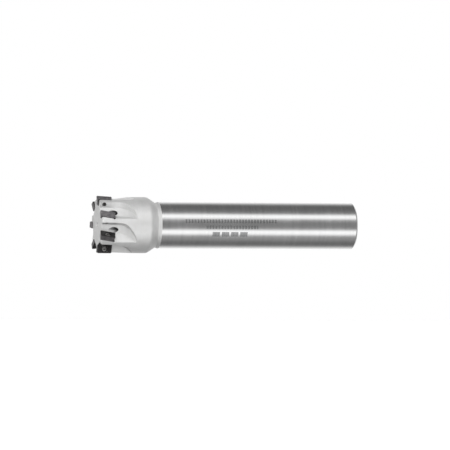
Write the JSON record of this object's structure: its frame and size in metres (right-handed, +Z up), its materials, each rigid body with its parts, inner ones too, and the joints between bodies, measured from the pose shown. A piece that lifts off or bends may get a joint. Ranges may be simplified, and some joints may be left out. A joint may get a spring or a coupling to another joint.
{
  "type": "indexable face mill",
  "caption": "Face mill on a plain cylindrical shank, with carbide inserts clamped by countersunk screws in milled pockets, chip gullets and through coolant.",
  "frame": {"origin": "centre of the shank's rear end face, on the tool's axis", "axes": "+X along the tool's axis from the cutting end to the shank's rear end, +Z up; tooth 1 is near the top"},
  "size_m": [0.182, 0.0393, 0.0393],
  "materials": {
    "tool_steel": "satin nickel-like head, ground shank",
    "carbide": "dark coated cemented carbide",
    "screw_steel": "dark oiled steel"
  },
  "bodies": {
    "cutter_body": {"cutter_body": "tool_steel"},
    "insert_1": {"insert_1": "carbide"},
    "insert_screw_1": {"insert_screw_1": "screw_steel"},
    "insert_2": {"insert_2": "carbide"},
    "insert_screw_2": {"insert_screw_2": "screw_steel"},
    "insert_3": {"insert_3": "carbide"},
    "insert_screw_3": {"insert_screw_3": "screw_steel"},
    "insert_4": {"insert_4": "carbide"},
    "insert_screw_4": {"insert_screw_4": "screw_steel"},
    "insert_5": {"insert_5": "carbide"},
    "insert_screw_5": {"insert_screw_5": "screw_steel"},
    "insert_6": {"insert_6": "carbide"},
    "insert_screw_6": {"insert_screw_6": "screw_steel"},
    "insert_7": {"insert_7": "carbide"},
    "insert_screw_7": {"insert_screw_7": "screw_steel"}
  },
  "joints": [
    {"name": "insert_lift_1", "type": "slide", "parent": "cutter_body", "child": "insert_1", "axis": [0.1736, 0.9131, 0.3689], "range_m": [0, 0.00315]},
    {"name": "screw_turn_1", "type": "hinge", "parent": "insert_1", "child": "insert_screw_1", "pos_m": [-0.17658, -0.00263, 0.01669], "axis": [0.1736, 0.9131, 0.3689], "range_deg": [0, 2520]},
    {"name": "insert_lift_2", "type": "slide", "parent": "cutter_body", "child": "insert_2", "axis": [0.1736, 0.2809, 0.9439], "range_m": [0, 0.00315]},
    {"name": "screw_turn_2", "type": "hinge", "parent": "insert_2", "child": "insert_screw_2", "pos_m": [-0.17658, -0.01469, 0.00835], "axis": [0.1736, 0.2809, 0.9439], "range_deg": [0, 2520]},
    {"name": "insert_lift_3", "type": "slide", "parent": "cutter_body", "child": "insert_3", "axis": [0.1736, -0.5628, 0.8081], "range_m": [0, 0.00315]},
    {"name": "screw_turn_3", "type": "hinge", "parent": "insert_3", "child": "insert_screw_3", "pos_m": [-0.17658, -0.01569, -0.00628], "axis": [0.1736, -0.5628, 0.8081], "range_deg": [0, 2520]},
    {"name": "insert_lift_4", "type": "slide", "parent": "cutter_body", "child": "insert_4", "axis": [0.1736, -0.9827, 0.0638], "range_m": [0, 0.00315]},
    {"name": "screw_turn_4", "type": "hinge", "parent": "insert_4", "child": "insert_screw_4", "pos_m": [-0.17658, -0.00487, -0.01618], "axis": [0.1736, -0.9827, 0.0638], "range_deg": [0, 2520]},
    {"name": "insert_lift_5", "type": "slide", "parent": "cutter_body", "child": "insert_5", "axis": [0.1736, -0.6626, -0.7286], "range_m": [0, 0.00315]},
    {"name": "screw_turn_5", "type": "hinge", "parent": "insert_5", "child": "insert_screw_5", "pos_m": [-0.17658, 0.00961, -0.0139], "axis": [0.1736, -0.6626, -0.7286], "range_deg": [0, 2520]},
    {"name": "insert_lift_6", "type": "slide", "parent": "cutter_body", "child": "insert_6", "axis": [0.1736, 0.1565, -0.9723], "range_m": [0, 0.00315]},
    {"name": "screw_turn_6", "type": "hinge", "parent": "insert_6", "child": "insert_screw_6", "pos_m": [-0.17658, 0.01685, -0.00115], "axis": [0.1736, 0.1565, -0.9723], "range_deg": [0, 2520]},
    {"name": "insert_lift_7", "type": "slide", "parent": "cutter_body", "child": "insert_7", "axis": [0.1736, 0.8577, -0.4839], "range_m": [0, 0.00315]},
    {"name": "screw_turn_7", "type": "hinge", "parent": "insert_7", "child": "insert_screw_7", "pos_m": [-0.17658, 0.01141, 0.01246], "axis": [0.1736, 0.8577, -0.4839], "range_deg": [0, 2520]}
  ],
  "couplings": [
    {"joint": "screw_turn_1", "follows": "insert_lift_1", "rad_per_m": 13963},
    {"joint": "screw_turn_2", "follows": "insert_lift_2", "rad_per_m": 13963},
    {"joint": "screw_turn_3", "follows": "insert_lift_3", "rad_per_m": 13963},
    {"joint": "screw_turn_4", "follows": "insert_lift_4", "rad_per_m": 13963},
    {"joint": "screw_turn_5", "follows": "insert_lift_5", "rad_per_m": 13963},
    {"joint": "screw_turn_6", "follows": "insert_lift_6", "rad_per_m": 13963},
    {"joint": "screw_turn_7", "follows": "insert_lift_7", "rad_per_m": 13963}
  ]
}
